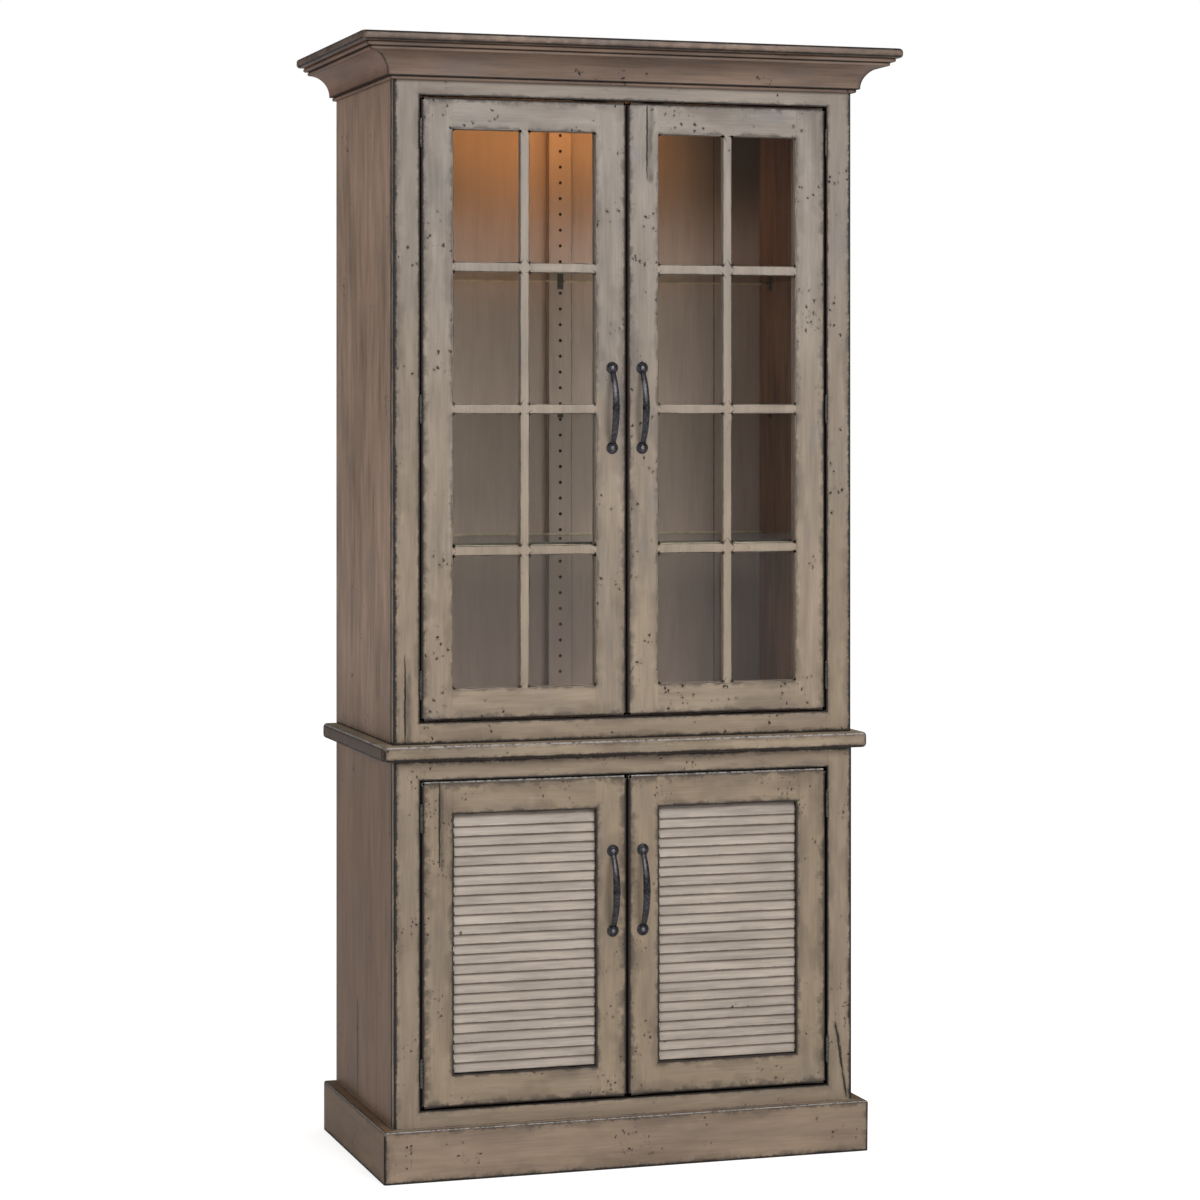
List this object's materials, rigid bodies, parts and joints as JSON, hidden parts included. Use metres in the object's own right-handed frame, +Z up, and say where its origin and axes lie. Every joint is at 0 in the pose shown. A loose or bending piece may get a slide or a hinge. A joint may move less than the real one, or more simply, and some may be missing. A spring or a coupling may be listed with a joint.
{
  "type": "china cabinet",
  "caption": "Tall china cabinet: glazed doors over louvred doors, glass shelves, mitred crown, waist slab and plinth, swinging on ball-tip hinges.",
  "frame": {"origin": "middle of the bottom of the overall box, on the floor", "axes": "+X to the right seen from the front, +Y towards the wall, +Z up; the doors face -Y"},
  "size_m": [1.076, 0.554, 2.134],
  "materials": {
    "case_paint": "taupe paint with brushed dark glaze, worn edges and worm holes",
    "inside_paint": "plain taupe paint, satin",
    "louvre_paint": "pale taupe paint with glaze in the gaps",
    "door_glass": "clear sheet glass",
    "shelf_glass": "clear glass with green edges",
    "black_iron": "blackened, slightly rough",
    "hinge_steel": "darkened steel with rubbed tips",
    "plated_steel": "zinc plated",
    "catch_plastic": "brown plastic",
    "light_metal": "bronze enamel",
    "light_lens": "frosted warm lens"
  },
  "bodies": {
    "root": {"back_centre_stile": "inside_paint", "cap_board": "case_paint", "crown_front": "case_paint", "crown_left": "case_paint", "crown_right": "case_paint", "door_catches": "catch_plastic", "glass_shelves": "shelf_glass", "hinge_frame_leaves": "hinge_steel", "hinge_pins": "hinge_steel", "lower_back": "inside_paint", "lower_face_rails": "case_paint", "lower_face_stiles": "case_paint", "lower_floor": "inside_paint", "lower_shelf": "inside_paint", "lower_side_left": "case_paint", "lower_side_right": "case_paint", "plinth_front": "case_paint", "plinth_left": "case_paint", "plinth_rear_rail": "inside_paint", "plinth_right": "case_paint", "puck_light_body": "light_metal", "puck_light_lens": "light_lens", "shelf_clips": "plated_steel", "upper_back": "inside_paint", "upper_ceiling": "inside_paint", "upper_face_rails": "case_paint", "upper_face_stiles": "case_paint", "upper_floor": "inside_paint", "upper_side_left": "case_paint", "upper_side_right": "case_paint", "waist_slab": "case_paint"},
    "upper_left_door": {"upper_door_left_glass": "door_glass", "upper_door_left_glass_stops": "inside_paint", "upper_door_left_hinge_leaves": "hinge_steel", "upper_door_left_muntins": "case_paint", "upper_door_left_pull": "black_iron", "upper_door_left_rails": "case_paint", "upper_door_left_stiles": "case_paint", "upper_door_left_strike": "plated_steel"},
    "upper_right_door": {"upper_door_right_glass": "door_glass", "upper_door_right_glass_stops": "inside_paint", "upper_door_right_hinge_leaves": "hinge_steel", "upper_door_right_muntins": "case_paint", "upper_door_right_pull": "black_iron", "upper_door_right_rails": "case_paint", "upper_door_right_stiles": "case_paint", "upper_door_right_strike": "plated_steel"},
    "lower_left_door": {"lower_door_left_hinge_leaves": "hinge_steel", "lower_door_left_louvres": "louvre_paint", "lower_door_left_pull": "black_iron", "lower_door_left_rails": "case_paint", "lower_door_left_stiles": "case_paint", "lower_door_left_strike": "plated_steel"},
    "lower_right_door": {"lower_door_right_hinge_leaves": "hinge_steel", "lower_door_right_louvres": "louvre_paint", "lower_door_right_pull": "black_iron", "lower_door_right_rails": "case_paint", "lower_door_right_stiles": "case_paint", "lower_door_right_strike": "plated_steel"}
  },
  "joints": [
    {"name": "upper_left_door_hinge", "type": "hinge", "parent": "root", "child": "upper_left_door", "pos_m": [-0.4055, -0.1993, 0], "axis": [0, 0, -1], "range_deg": [0, 165]},
    {"name": "upper_right_door_hinge", "type": "hinge", "parent": "root", "child": "upper_right_door", "pos_m": [0.4055, -0.1993, 0], "axis": [0, 0, 1], "range_deg": [0, 165]},
    {"name": "lower_left_door_hinge", "type": "hinge", "parent": "root", "child": "lower_left_door", "pos_m": [-0.4055, -0.2033, 0], "axis": [0, 0, -1], "range_deg": [0, 165]},
    {"name": "lower_right_door_hinge", "type": "hinge", "parent": "root", "child": "lower_right_door", "pos_m": [0.4055, -0.2033, 0], "axis": [0, 0, 1], "range_deg": [0, 165]}
  ]
}
